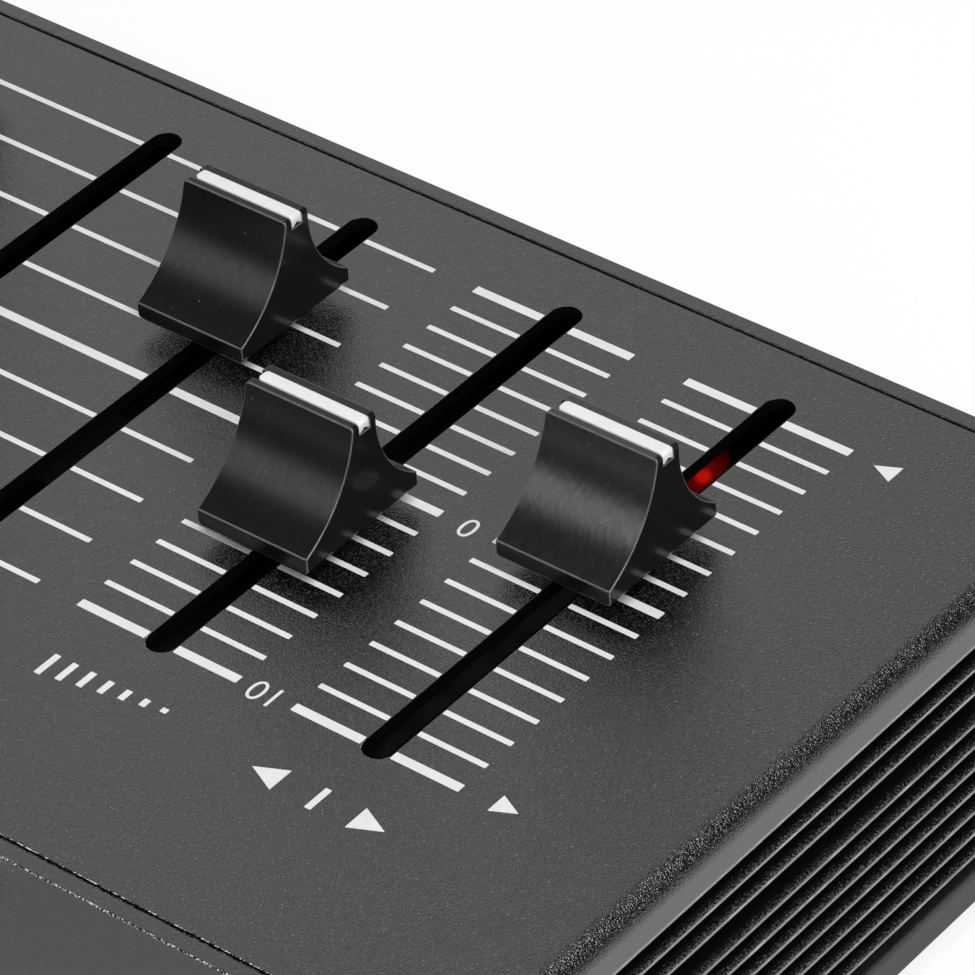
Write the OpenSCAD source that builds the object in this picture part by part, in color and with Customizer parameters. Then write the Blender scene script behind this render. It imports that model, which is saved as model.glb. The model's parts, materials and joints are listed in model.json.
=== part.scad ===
// Desktop audio equalizer with straight sliders in a finned extruded case.
// X runs to the user's right, Y to the rear, Z up. The origin is on the floor,
// under the middle of the whole object's box. All sizes are in millimetres.

/* [Sliders] */
// Number of band sliders beside volume and balance
band_count = 7; // [3:1:7]
// Distance between neighbouring sliders
slider_pitch = 20; // [16:0.5:30]
// Travel of a slider, which is also the length of its scale
travel = 45; // [30:1:60]
// Number of steps printed along a full scale
scale_steps = 16; // [8:1:20]
// Place of the balance line at rest, in scale steps towards the rear
balance_rest = -1.625; // [-8:0.125:8]
// Place of the volume line at rest, in scale steps towards the rear
volume_rest = 1.75; // [-8:0.125:8]
// Places of the band lines at rest, in scale steps towards the rear
band_rest = [-4, 4, -5.5, 2, -2, -4, 3];
// Width of the slots in the panel
slot_w = 2.56; // [2:0.02:4]

/* [Case] */
// Height of the case without its feet
case_h = 28; // [24:0.5:45]
// Distance from the outer sliders to the sides of the case
side_margin = 24.95; // [18:0.05:40]
// Distance from the front seam to the front end of the scales
front_margin = 7.3; // [7.2:0.1:20]
// Distance from the rear end of the scales to the rear seam
rear_margin = 22.2; // [20:0.1:40]
// Thickness of the top panel
panel_t = 1.2; // [1:0.1:3]
// Thickness of the floor
floor_t = 2; // [1.2:0.1:3]
// Thickness of the side walls behind the fins
wall_t = 1.6; // [1.2:0.1:3]
// Radius of the upper long edges
corner_r = 1.75; // [0.5:0.05:2.5]
// Radius of the lower long edges
base_corner_r = 0.4; // [0.2:0.05:1.5]
// Thickness of the end plates
plate_t = 1.4; // [1:0.1:3]
// Width and depth of the shadow line at the end plates
seam_w = 0.3; // [0.2:0.05:0.8]
// Height of the rubber feet
foot_h = 2.5; // [1:0.5:6]
// Radius of the rubber feet
foot_r = 5; // [3:0.5:8]
// Distance from the case's sides to the middle of each foot
foot_inset = 13; // [8:0.5:30]

/* [Fins] */
// Height of the plain band above the fins
band_h = 3.85; // [3:0.05:5]
// Distance between neighbouring fins of the upper shell
upper_pitch = 2.17; // [1.8:0.01:2.2]
// Distance between neighbouring fins of the lower shell
lower_pitch = 2.05; // [1.8:0.01:2.2]
// Thickness of a fin at its tip
tip_t = 0.25; // [0.15:0.05:0.5]
// Thickness that a fin gains on each side towards its root
fin_taper = 0.35; // [0.1:0.05:0.5]
// Depth of the grooves between the fins
fin_depth = 1.6; // [1:0.1:2.5]
// Height from the panel down to the joint between the shells
joint_drop = 9.45; // [9:0.05:9.6]
// Height from the joint down to the first lower fin
joint_gap = 1.43; // [0.6:0.01:2]
// Least height of the base's plain face under the fins
base_band_h = 1.8; // [1.8:0.1:5]
// Radius of the base's upper edge
base_round = 1.4; // [0.5:0.1:1.5]

/* [Knobs] */
// Width of a knob across its slot
knob_w = 10.1; // [8:0.1:13]
// Height of the ridge above the panel
knob_top = 10.74; // [9:0.1:14]
// Height of the knob's underside above the panel
knob_gap = 1.43; // [0.5:0.01:2]
// Height of the straight skirt
skirt_h = 1.4; // [0.8:0.1:2.5]
// Reach of the skirt from the white line towards the rear
knob_rear = 7.25; // [5.5:0.05:9]
// Reach of the skirt from the white line towards the front
knob_front = 5.15; // [4:0.05:7]
// Length of the ridge along the slot
ridge_l = 2.3; // [2:0.1:4]
// Radius of the hollow rear face
rear_sweep_r = 11; // [9:0.5:20]
// Radius of the hollow front face
front_sweep_r = 8; // [7:0.5:16]
// Width of the white line
line_w = 1.2; // [0.6:0.1:1.6]
// Depth of the white line
line_depth = 0.8; // [0.4:0.1:1.5]
// Wall that closes the line's groove at one end
line_wall = 0.7; // [0.3:0.1:1]
// Radius of the line's corners at its closed end, as a share of its half width
line_round = 0.8; // [0.2:0.05:0.9]
// Height of the line above the ridge
line_proud = 0.1; // [0.05:0.05:0.3]

/* [Slide tracks] */
// Width of a track
track_w = 8; // [7:0.5:12]
// Height of a track
track_h = 7; // [6:0.5:9]
// Length of a track beyond the travel, both ends together
track_extra = 12; // [10:0.5:13]
// Thickness of the track's walls
track_wall = 0.8; // [0.5:0.1:1.2]
// Distance from the panel's face down to the tracks
track_drop = 6.5; // [4:0.5:8]
// Size of the lever along the slot
lever_l = 3.2; // [2.2:0.1:3.6]
// Thickness of the lever
lever_t = 1.2; // [0.8:0.1:1.6]
// Offset of the lever from the white line towards the front
lever_offset = 0.65; // [0:0.05:0.9]
// Size of the lever's tip along the slot, inside the knob
tip_l = 2; // [1.2:0.1:2]
// Height of the lever's tip above the panel
tip_top = 6.5; // [4:0.5:7]
// Length of the carriage along the track
carriage_l = 6; // [4:0.5:7]
// Height of the carriage
carriage_h = 3; // [2:0.5:4]

/* [Board] */
// Thickness of the circuit board
board_t = 1.6; // [1:0.2:2]
// Reach of the board rails from the walls
rail_reach = 2; // [1:0.5:3]
// Thickness of the board rails
rail_t = 1.2; // [0.8:0.1:2]
// Radius of the indicator lamp
lamp_r = 2.5; // [1.5:0.5:2.5]
// Height of the indicator lamp
lamp_h = 8.6; // [5:0.1:9]
// Distance from the front end of the scales to the lamp, towards the front
lamp_past = 0.2; // [-4:0.1:1.5]
// Radius of the reservoir capacitors
cap_r = 4; // [2.5:0.5:4]
// Height of the reservoir capacitors
cap_h = 10; // [5:0.5:11]
// Gap between neighbouring capacitors
cap_gap = 1.5; // [0.5:0.1:3]
// Distance from the capacitors to the rear plate
cap_clear = 3; // [1:0.5:5]
// Length of an amplifier chip
chip_l = 9.8; // [6:0.1:14]
// Width of an amplifier chip
chip_w = 6.4; // [4:0.1:7]
// Height of an amplifier chip
chip_h = 3.4; // [2:0.1:5]

/* [Sockets] */
// Height of the socket middles above the board
socket_rise = 5.5; // [5.2:0.1:6]
// Distance between the two sockets of a pair
socket_pitch = 14; // [11:0.5:16]
// Radius of a socket's metal barrel
barrel_r = 4.15; // [3.5:0.05:4.5]
// Length of a barrel outside the rear plate
barrel_l = 9.5; // [7:0.5:11]
// Wall of a barrel
barrel_wall = 0.55; // [0.4:0.05:1]
// Radius of the hole for a plug's pin
contact_r = 1.6; // [1.4:0.05:1.8]
// Wall of the contact tube
contact_wall = 0.4; // [0.3:0.05:0.6]
// Depth of the insulators' faces behind the barrels' mouths
insulator_recess = 1; // [0.2:0.1:2]
// Depth of the contacts' mouths behind the insulators' faces
contact_recess = 0.5; // [0.2:0.1:1.5]
// Wall of the socket housings beside the barrels
housing_wall = 2; // [1:0.1:3]
// Depth of the socket housings
housing_l = 11.5; // [9:0.5:14]
// Height of the socket housings above the board
housing_h = 10.8; // [10:0.1:11.2]
// Radius of the inlet's hole
inlet_bore_r = 2.9; // [2.5:0.1:3.2]
// Radius of the inlet's centre pin
inlet_pin_r = 1.05; // [0.8:0.05:1.3]
// Depth of the inlet's hole
inlet_depth = 9.5; // [8:0.5:11]
// Wall of the inlet's nose
inlet_wall = 1; // [0.6:0.1:1.5]
// Reach of the inlet's housing past its nose on each side
inlet_side = 0.6; // [0.3:0.1:1.5]
// Reach of the inlet's nose past the rear plate
inlet_reach = 0.6; // [0.2:0.1:2]

/* [Rear layout] */
// Share of the free rear width left of the input sockets
input_share = 0.39; // [0.1:0.01:0.45]
// Share of the free rear width between the input and output sockets
output_share = 0.09; // [0.04:0.01:0.15]
// Share of the free rear width between the output sockets and the capacitors
cap_share = 0.04; // [0.02:0.01:0.1]
// Share of the free rear width between the capacitors and the power inlet
inlet_share = 0.13; // [0.04:0.01:0.2]
// Share of the free rear width between the power inlet and the power switch
switch_share = 0.18; // [0.08:0.01:0.25]

/* [Power switch] */
// Width of the rocker's opening
rocker_w = 11.8; // [10:0.2:14]
// Height of the rocker's opening
rocker_h = 7.4; // [6:0.2:8]
// Wall of the switch housing
switch_wall = 0.8; // [0.6:0.1:1.2]
// Depth of the switch housing behind the rear plate
switch_depth = 10; // [8:0.5:14]
// Rim of the bezel around the housing
bezel_rim = 0.9; // [0.6:0.1:2]
// Thickness of the bezel
bezel_t = 1.6; // [1:0.1:2.5]
// Tilt of the rocker from its middle to either side
rocker_tilt = 10; // [6:1:12]
// Depth of the rocker's pivot behind the bezel's face
pivot_depth = 2.6; // [2.2:0.1:3]
// Radius of the rocker's pivot
pivot_r = 0.9; // [0.6:0.1:1.2]

/* [Screws] */
// Radius of the screw heads
head_r = 2.7; // [2:0.1:3]
// Height of the screw heads
head_h = 1.6; // [1:0.1:2.5]
// Radius of the screws' shanks
shank_r = 1.45; // [1:0.05:1.6]
// Length of the shanks inside the case
shank_l = 8; // [5:0.5:14]
// Wall of the screw channels
channel_wall = 1.4; // [1:0.1:2]
// Distance from the screw heads to the upper and lower edges of the case
head_inset = 0.75; // [0.3:0.05:2]
// Width of the cross recess
recess_w = 0.7; // [0.5:0.1:1]

/* [Clearances] */
// Gap between a moving piece and its guide
slide_gap = 0.2; // [0.1:0.05:0.4]
// Gap between a lever's corners and the round end of a slot, at the end of the travel
stop_gap = 0.06; // [0.03:0.01:0.3]
// Gap under the carriage
seat_gap = 0.1; // [0.05:0.05:0.3]
// Gap around pieces that are put through a plate
through_gap = 0.2; // [0.1:0.05:0.4]
// Gap around pieces that fit closely in one another
fit_gap = 0.05; // [0.02:0.01:0.1]

/* [Hidden] */
$fn = 64;
overcut = 1;
sliders = concat(["balance", "volume"], [for (b = [1 : band_count]) str("band_", b)]);
slider_count = len(sliders);
rest_steps = concat([balance_rest, volume_rest], band_rest);
step_l = travel / scale_steps;

case_w = (slider_count - 1) * slider_pitch + 2 * side_margin;
case_l = front_margin + travel + rear_margin;
object_l = head_h + plate_t + case_l + plate_t + barrel_l;
front_face_y = -object_l / 2 + head_h;
front_seam_y = front_face_y + plate_t;
rear_seam_y = front_seam_y + case_l;
rear_face_y = rear_seam_y + plate_t;
scale_y = front_seam_y + front_margin + travel / 2;
lever_y = scale_y - lever_offset;

base_z = foot_h;
floor_z = base_z + floor_t;
panel_z = base_z + case_h;
ceiling_z = panel_z - panel_t;
joint_z = panel_z - joint_drop;
cavity_x = case_w / 2 - fin_depth - wall_t;

upper_fins = floor((joint_drop - band_h) / upper_pitch);
first_fin_drop = joint_drop + joint_gap;
base_step = lower_pitch - fin_taper + base_round / 2;
lower_fins = 1 + floor((case_h - base_band_h - base_step - first_fin_drop) / lower_pitch);
last_fin_drop = first_fin_drop + (lower_fins - 1) * lower_pitch;
base_face_drop = last_fin_drop + base_step;

track_l = travel + track_extra;
track_top_z = panel_z - track_drop;
board_top_z = track_top_z - track_h;
board_z = board_top_z - board_t;
track_slot_w = lever_t + 4 * slide_gap;
carriage_z = board_top_z + track_wall + seat_gap;

socket_z = board_top_z + socket_rise;
housing_w = socket_pitch + 2 * barrel_r + 2 * housing_wall;
insulator_r = barrel_r - barrel_wall - fit_gap;
contact_out_r = contact_r + contact_wall;
insulator_l = barrel_l + plate_t - insulator_recess;
contact_l = insulator_l - contact_recess;
nose_r = inlet_bore_r + inlet_wall;
pivot_y = rear_face_y + bezel_t - pivot_depth;
pivot_z = board_top_z + socket_rise;
rocker_r = rocker_w / 2 - slide_gap;
rocker_top = 4.2;
rocker_dip = 1;
rocker_base = 2;

channel_r = shank_r + channel_wall;
channel_x = cavity_x - shank_r;
top_channel_z = panel_z - head_inset - head_r;
low_channel_z = base_z + head_inset + head_r;
lip_h = 1.5;
lip_t = 1.2;

cap_pitch = 2 * cap_r + cap_gap;
caps_w = 2 * cap_pitch + 2 * cap_r;
inlet_w = 2 * nose_r + 2 * inlet_side;
switch_w = rocker_w + 2 * switch_wall;
bezel_w = switch_w + 2 * bezel_rim;
rear_reach = channel_x - head_r;
rear_free = 2 * rear_reach - 2 * housing_w - caps_w - inlet_w - bezel_w;
input_x = -rear_reach + input_share * rear_free + housing_w / 2;
output_x = input_x + output_share * rear_free + housing_w;
cap_x = output_x + cap_share * rear_free + (housing_w + caps_w) / 2;
inlet_x = cap_x + inlet_share * rear_free + (caps_w + inlet_w) / 2;
switch_x = inlet_x + switch_share * rear_free + (inlet_w + bezel_w) / 2;

case_black = [0.09, 0.09, 0.095];
plastic_black = [0.06, 0.06, 0.065];
metal_grey = [0.75, 0.75, 0.76];

function slider_x(i) = (i - (slider_count - 1) / 2) * slider_pitch;
function line_y(i) = scale_y + rest_steps[i] * step_l;

// Length of a slot with round ends that clears the lever's corners over the whole travel
function slot_l(w) = travel + lever_l + 2 * stop_gap + w - sqrt(w * w - lever_t * lever_t);

// Middle of a circle of radius r through a and b, on the outer side of the pair
function sweep_middle(a, b, r) =
    let (d = b - a, reach = norm(d), n = [-d[1], d[0]] / reach)
    (a + b) / 2 + n * sqrt(r * r - reach * reach / 4);

// Box given by its low corner and its size, with X centred
module box_x(w, y0, l, z0, h) {
    translate([-w / 2, y0, z0]) cube([w, l, h]);
}

// Bar with round ends along Y, standing on z0
module round_bar(w, l, z0, h) {
    translate([-w / 2, -(l - w) / 2, z0]) cube([w, l - w, h]);
    for (y = [-1, 1] * (l - w) / 2) {
        translate([0, y, z0]) cylinder(r = w / 2, h = h);
    }
}

// Turns a drawing with X across and Y up into a bar along Y
module along_y(y0, l) {
    translate([0, y0 + l, 0]) rotate([90, 0, 0]) linear_extrude(l) children();
}

// Rod along Y
module rod_y(r, y0, l) {
    translate([0, y0, 0]) rotate([-90, 0, 0]) cylinder(r = r, h = l);
}

// Outline of the case seen from the front, drawn in by an inset
module case_outline(inset = 0) {
    w = case_w - 2 * inset;
    h = case_h - 2 * inset;
    low_w = w - 2 * base_corner_r;
    top_w = w - 2 * corner_r;
    translate([0, base_z + inset]) {
        translate([-low_w / 2, 0]) square([low_w, h / 2]);
        translate([-top_w / 2, h / 2]) square([top_w, h / 2]);
        translate([-w / 2, base_corner_r]) square([w, h - base_corner_r - corner_r]);
        for (s = [-1, 1]) {
            translate([s * low_w / 2, base_corner_r]) circle(base_corner_r);
            translate([s * top_w / 2, h - corner_r]) circle(corner_r);
        }
    }
}

// Groove in both sides of the case, its mouth from one depth below the panel to another
module side_grooves(top_drop, low_drop, top_taper = fin_taper, low_taper = fin_taper) {
    for (s = [0, 1]) mirror([s, 0]) translate([case_w / 2, panel_z]) polygon([
        [-fin_depth, -top_drop - top_taper], [0, -top_drop], [overcut, -top_drop],
        [overcut, -low_drop], [0, -low_drop], [-fin_depth, -low_drop + low_taper]
    ]);
}

// Groove above the base, whose upper edge is round
module base_grooves() {
    overlap = tip_t / 2;
    side_grooves(last_fin_drop + tip_t, base_face_drop - base_round, fin_taper, 0);
    difference() {
        for (x = [-1, 1] * case_w / 2) translate([x - base_round, panel_z - base_face_drop]) {
            square([2 * base_round, base_round + overlap]);
        }
        for (x = [-1, 1] * (case_w / 2 - base_round)) {
            translate([x, panel_z - base_face_drop]) circle(base_round);
        }
    }
}

// Section of the upper shell: panel, side walls, fins and screw channels
module top_section(inset) {
    difference() {
        intersection() {
            case_outline(inset);
            translate([-case_w, joint_z]) square([2 * case_w, case_h]);
        }
        difference() {
            translate([-cavity_x, base_z]) square([2 * cavity_x, ceiling_z - base_z]);
            for (s = [-1, 1]) translate([s * channel_x, top_channel_z]) circle(channel_r);
        }
        for (s = [-1, 1]) translate([s * channel_x, top_channel_z]) circle(shank_r + fit_gap);
        for (k = [1 : upper_fins]) {
            side_grooves(band_h + (k - 1) * upper_pitch, band_h + k * upper_pitch - tip_t);
        }
        side_grooves(band_h + upper_fins * upper_pitch, joint_drop + overcut, fin_taper, 0);
    }
}

// Rail along a side wall that carries or covers the board's edge
module board_rails(z0) {
    for (s = [-1, 1]) {
        translate([s * (cavity_x - rail_reach / 2) - rail_reach / 2, z0]) {
            square([rail_reach, rail_t]);
        }
    }
}

// Section of the lower shell: floor, side walls, fins, board rails, lip and screw channels
module bottom_section(inset) {
    difference() {
        intersection() {
            case_outline(inset);
            translate([-case_w, base_z - overcut]) square([2 * case_w, joint_z - base_z + overcut]);
        }
        difference() {
            translate([-cavity_x, floor_z]) square([2 * cavity_x, case_h]);
            for (s = [-1, 1]) translate([s * channel_x, low_channel_z]) circle(channel_r);
        }
        for (s = [-1, 1]) translate([s * channel_x, low_channel_z]) circle(shank_r + fit_gap);
        side_grooves(joint_drop - overcut, first_fin_drop, 0, fin_taper);
        for (k = [1 : lower_fins - 1]) {
            fin_drop = first_fin_drop + (k - 1) * lower_pitch;
            side_grooves(fin_drop + tip_t, fin_drop + lower_pitch);
        }
        base_grooves();
    }
    board_rails(board_z - rail_t);
    board_rails(board_top_z + seat_gap);
    for (s = [-1, 1]) {
        translate([s * (cavity_x - lip_t / 2) - lip_t / 2, joint_z - lip_h]) square([lip_t, lip_h]);
        translate([s * (cavity_x - slide_gap - lip_t / 2) - lip_t / 2, joint_z - lip_h]) {
            square([lip_t, 2 * lip_h]);
        }
    }
}

module top_shell() {
    color(case_black) difference() {
        union() {
            along_y(front_seam_y, case_l) top_section(seam_w);
            along_y(front_seam_y + seam_w, case_l - 2 * seam_w) top_section(0);
        }
        for (i = [0 : slider_count - 1]) {
            translate([slider_x(i), lever_y, 0]) {
                round_bar(slot_w, slot_l(slot_w), ceiling_z - overcut, panel_t + 2 * overcut);
            }
        }
    }
}

module bottom_shell() {
    color(case_black) {
        along_y(front_seam_y, case_l) bottom_section(seam_w);
        along_y(front_seam_y + seam_w, case_l - 2 * seam_w) bottom_section(0);
    }
}

// Places of the four screws of an end plate
module at_screws() {
    for (s = [-1, 1], z = [low_channel_z, top_channel_z]) translate([s * channel_x, 0, z]) children();
}

// End plate without its cut-outs
module blank_plate(y0) {
    difference() {
        along_y(y0, plate_t) case_outline();
        at_screws() rod_y(shank_r + through_gap, y0 - overcut, plate_t + 2 * overcut);
    }
}

module front_plate() {
    color(case_black) blank_plate(front_face_y);
}

module rear_plate() {
    y0 = rear_seam_y - overcut;
    l = plate_t + 2 * overcut;
    color(case_black) difference() {
        blank_plate(rear_seam_y);
        for (x = [input_x, output_x], s = [-1, 1]) {
            translate([x + s * socket_pitch / 2, 0, socket_z]) rod_y(barrel_r, y0, l);
        }
        translate([inlet_x, 0, socket_z]) rod_y(nose_r + through_gap, y0, l);
        translate([switch_x, 0, 0]) {
            w = switch_w + 2 * through_gap;
            h = rocker_h + 2 * switch_wall + 2 * through_gap;
            box_x(w, y0, l, pivot_z - h / 2, h);
        }
    }
}

// Pan head screw along Y, its head's seat at the origin and its shank towards +Y
module pan_screw() {
    rim_h = head_h / 2;
    crown_r = 0.8 * head_r;
    recess_l = 1.1 * head_r;
    recess_depth = 0.6 * head_h;
    difference() {
        union() {
            rod_y(head_r, -rim_h, rim_h);
            rod_y(crown_r, -head_h, head_h);
        }
        for (t = [0, 90]) rotate([0, t, 0]) {
            translate([-recess_l / 2, -head_h - overcut, -recess_w / 2]) {
                cube([recess_l, recess_depth + overcut, recess_w]);
            }
        }
    }
    rod_y(shank_r, 0, plate_t + shank_l);
}

module front_screws() {
    color(plastic_black) translate([0, front_face_y, 0]) at_screws() pan_screw();
}

module rear_screws() {
    color(plastic_black) translate([0, rear_face_y, 0]) at_screws() mirror([0, 1, 0]) pan_screw();
}

module rubber_feet() {
    rim = foot_h / 5;
    color("black") for (x = [-1, 1] * (case_w / 2 - foot_inset)) {
        for (y = [front_seam_y + foot_inset, rear_seam_y - foot_inset]) translate([x, y, 0]) {
            rotate_extrude() polygon([
                [0, 0], [foot_r - rim, 0], [foot_r, rim], [foot_r, foot_h], [0, foot_h]
            ]);
        }
    }
}

module main_board() {
    color([0.03, 0.2, 0.1]) {
        w = 2 * (cavity_x - slide_gap);
        box_x(w, front_seam_y + slide_gap, case_l - 2 * slide_gap, board_z, board_t);
    }
}

module indicator_lamp() {
    flange_h = 1;
    flange_reach = 0.4;
    flange_r = lamp_r + flange_reach;
    body_h = lamp_h - lamp_r;
    lamp_x = slider_x(0) + track_w / 2 + flange_r + slide_gap;
    lamp_y = scale_y - travel / 2 - lamp_past;
    color([0.8, 0.05, 0.03]) translate([lamp_x, lamp_y, board_top_z]) {
        cylinder(r = flange_r, h = flange_h);
        cylinder(r = lamp_r, h = body_h);
        translate([0, 0, body_h]) intersection() {
            sphere(lamp_r);
            translate([0, 0, lamp_r]) cube(2 * lamp_r, center = true);
        }
    }
}

module capacitors() {
    cap_y = rear_seam_y - cap_clear - cap_r;
    color([0.05, 0.07, 0.16]) for (k = [-1 : 1]) {
        translate([cap_x + k * cap_pitch, cap_y, board_top_z]) cylinder(r = cap_r, h = cap_h);
    }
}

module amplifier_chips() {
    color([0.05, 0.05, 0.05]) for (i = [2 : slider_count - 2]) {
        translate([slider_x(i) + slider_pitch / 2, 0, 0]) {
            box_x(chip_w, scale_y - chip_l / 2, chip_l, board_top_z, chip_h);
        }
    }
}

// Housing of a pair of sockets behind the rear plate
module jack_housing(x) {
    color(plastic_black) translate([x, 0, 0]) {
        box_x(housing_w, rear_seam_y - housing_l, housing_l, board_top_z, housing_h);
    }
}

module input_housing() {
    jack_housing(input_x);
}

module output_housing() {
    jack_housing(output_x);
}

// Tube along Y in a socket, from the housing's face outwards
module socket_tube(x, out_r, in_r, l) {
    translate([x, 0, socket_z]) difference() {
        rod_y(out_r, rear_seam_y, l);
        rod_y(in_r, rear_seam_y - overcut, l + 2 * overcut);
    }
}

// Metal barrels of a pair of sockets, each with a neck through the rear plate
module jack_barrels(x) {
    in_r = barrel_r - barrel_wall;
    color(metal_grey) for (s = [-1, 1] * socket_pitch / 2) {
        socket_tube(x + s, barrel_r - through_gap, in_r, plate_t);
        translate([0, plate_t, 0]) socket_tube(x + s, barrel_r, in_r, barrel_l);
    }
}

module input_barrels() {
    jack_barrels(input_x);
}

module output_barrels() {
    jack_barrels(output_x);
}

// Insulators of one channel, one in each pair of sockets
module insulators(side) {
    for (x = [input_x, output_x]) {
        socket_tube(x + side * socket_pitch / 2, insulator_r, contact_out_r + fit_gap, insulator_l);
    }
}

module left_insulators() {
    color("white") insulators(-1);
}

module right_insulators() {
    color("red") insulators(1);
}

module jack_contacts() {
    color(metal_grey) for (x = [input_x, output_x], s = [-1, 1] * socket_pitch / 2) {
        socket_tube(x + s, contact_out_r, contact_r, contact_l);
    }
}

module power_inlet() {
    mouth_y = rear_face_y + inlet_reach;
    color(plastic_black) translate([inlet_x, 0, 0]) difference() {
        union() {
            box_x(inlet_w, rear_seam_y - housing_l, housing_l, board_top_z, housing_h);
            translate([0, 0, socket_z]) rod_y(nose_r, rear_seam_y, plate_t + inlet_reach);
        }
        translate([0, 0, socket_z]) rod_y(inlet_bore_r, mouth_y - inlet_depth, inlet_depth + overcut);
    }
}

module inlet_pin() {
    pin_y = rear_face_y + inlet_reach - inlet_depth;
    color(metal_grey) translate([inlet_x, 0, socket_z]) rod_y(inlet_pin_r, pin_y, inlet_depth - inlet_wall);
}

module switch_housing() {
    h = rocker_h + 2 * switch_wall;
    back_y = rear_face_y - switch_depth;
    cavity_l = switch_depth - switch_wall + bezel_t + overcut;
    color(plastic_black) translate([switch_x, 0, 0]) difference() {
        union() {
            box_x(switch_w, back_y, switch_depth, pivot_z - h / 2, h);
            box_x(bezel_w, rear_face_y, bezel_t, pivot_z - h / 2 - bezel_rim, h + 2 * bezel_rim);
        }
        box_x(rocker_w, back_y + switch_wall, cavity_l, pivot_z - rocker_h / 2, rocker_h);
        translate([0, pivot_y, pivot_z]) cylinder(r = pivot_r + fit_gap, h = h + overcut, center = true);
    }
}

module power_rocker() {
    h = rocker_h - 2 * slide_gap;
    pivot_l = rocker_h + 1.6 * switch_wall;
    color(plastic_black) translate([switch_x, pivot_y, pivot_z]) rotate([0, 0, rocker_tilt]) {
        linear_extrude(h, center = true) intersection() {
            circle(rocker_r);
            polygon([
                [-rocker_w, -rocker_base], [rocker_w, -rocker_base], [rocker_w, rocker_top + rocker_dip],
                [0, rocker_top - rocker_dip], [-rocker_w, rocker_top + rocker_dip]
            ]);
        }
        cylinder(r = pivot_r, h = pivot_l, center = true);
    }
}

// Side view of a knob: X towards the rear from the white line, Y up from the panel
module knob_section() {
    skirt_top = knob_gap + skirt_h;
    ridge = ridge_l / 2;
    rear_middle = sweep_middle([ridge, knob_top], [knob_rear, skirt_top], rear_sweep_r);
    front_middle = sweep_middle([-knob_front, skirt_top], [-ridge, knob_top], front_sweep_r);
    difference() {
        polygon([
            [-knob_front, knob_gap], [knob_rear, knob_gap], [knob_rear, skirt_top],
            [ridge, knob_top], [-ridge, knob_top], [-knob_front, skirt_top]
        ]);
        translate(rear_middle) circle(rear_sweep_r);
        translate(front_middle) circle(front_sweep_r);
    }
}

// White line's bar, open towards -X and with round corners at its closed end
module line_bar(h) {
    l = knob_w - line_wall;
    line_corner = line_round * line_w / 2;
    corner_y = line_w / 2 - line_corner;
    translate([-knob_w / 2, 0, 0]) {
        translate([0, -line_w / 2, 0]) cube([l - line_corner, line_w, h]);
        translate([0, -corner_y, 0]) cube([l, 2 * corner_y, h]);
        for (y = [-1, 1] * corner_y) translate([l - line_corner, y, 0]) cylinder(r = line_corner, h = h);
    }
}

// Lever tip, or its socket when a gap is given
module lever_tip(gap = 0) {
    l = tip_l + 2 * gap;
    translate([-lever_t / 2 - gap, -l / 2, 0]) cube([lever_t + 2 * gap, l, tip_top + gap]);
}

module slider_knob(i) {
    color(plastic_black) translate([slider_x(i), line_y(i), panel_z]) difference() {
        rotate([90, 0, 90]) linear_extrude(knob_w, center = true) knob_section();
        translate([0, 0, knob_top - line_depth]) line_bar(line_depth + overcut);
        lever_tip(fit_gap);
    }
}

module slider_line(i) {
    line_z = panel_z + knob_top - line_depth;
    color("white") translate([slider_x(i), line_y(i), line_z]) {
        line_bar(line_depth + line_proud);
    }
}

module slider_lever(i) {
    shoulder_z = panel_z + knob_gap;
    carriage_w = track_w - 2 * track_wall - 2 * slide_gap;
    color(metal_grey) translate([slider_x(i), line_y(i), 0]) {
        translate([0, -lever_offset, 0]) {
            box_x(carriage_w, -carriage_l / 2, carriage_l, carriage_z, carriage_h);
            box_x(lever_t, -lever_l / 2, lever_l, carriage_z, shoulder_z - carriage_z);
        }
        translate([0, 0, panel_z]) lever_tip();
    }
}

module slider_track(i) {
    inner_w = track_w - 2 * track_wall;
    inner_l = track_l - 2 * track_wall;
    inner_h = track_h - 2 * track_wall;
    color([0.3, 0.3, 0.31]) translate([slider_x(i), lever_y, 0]) difference() {
        box_x(track_w, -track_l / 2, track_l, board_top_z, track_h);
        box_x(inner_w, -inner_l / 2, inner_l, board_top_z + track_wall, inner_h);
        translate([0, 0, track_top_z - track_wall - overcut]) {
            round_bar(track_slot_w, slot_l(track_slot_w), 0, track_wall + 2 * overcut);
        }
    }
}

top_shell();
bottom_shell();
front_plate();
rear_plate();
front_screws();
rear_screws();
rubber_feet();
main_board();
indicator_lamp();
capacitors();
amplifier_chips();
input_housing();
output_housing();
input_barrels();
output_barrels();
left_insulators();
right_insulators();
jack_contacts();
power_inlet();
inlet_pin();
switch_housing();
power_rocker();
for (i = [0 : slider_count - 1]) {
    slider_knob(i);
    slider_line(i);
    slider_lever(i);
    slider_track(i);
}
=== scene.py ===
import json
import math
import bmesh
import bpy
from mathutils import Matrix, Vector


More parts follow.
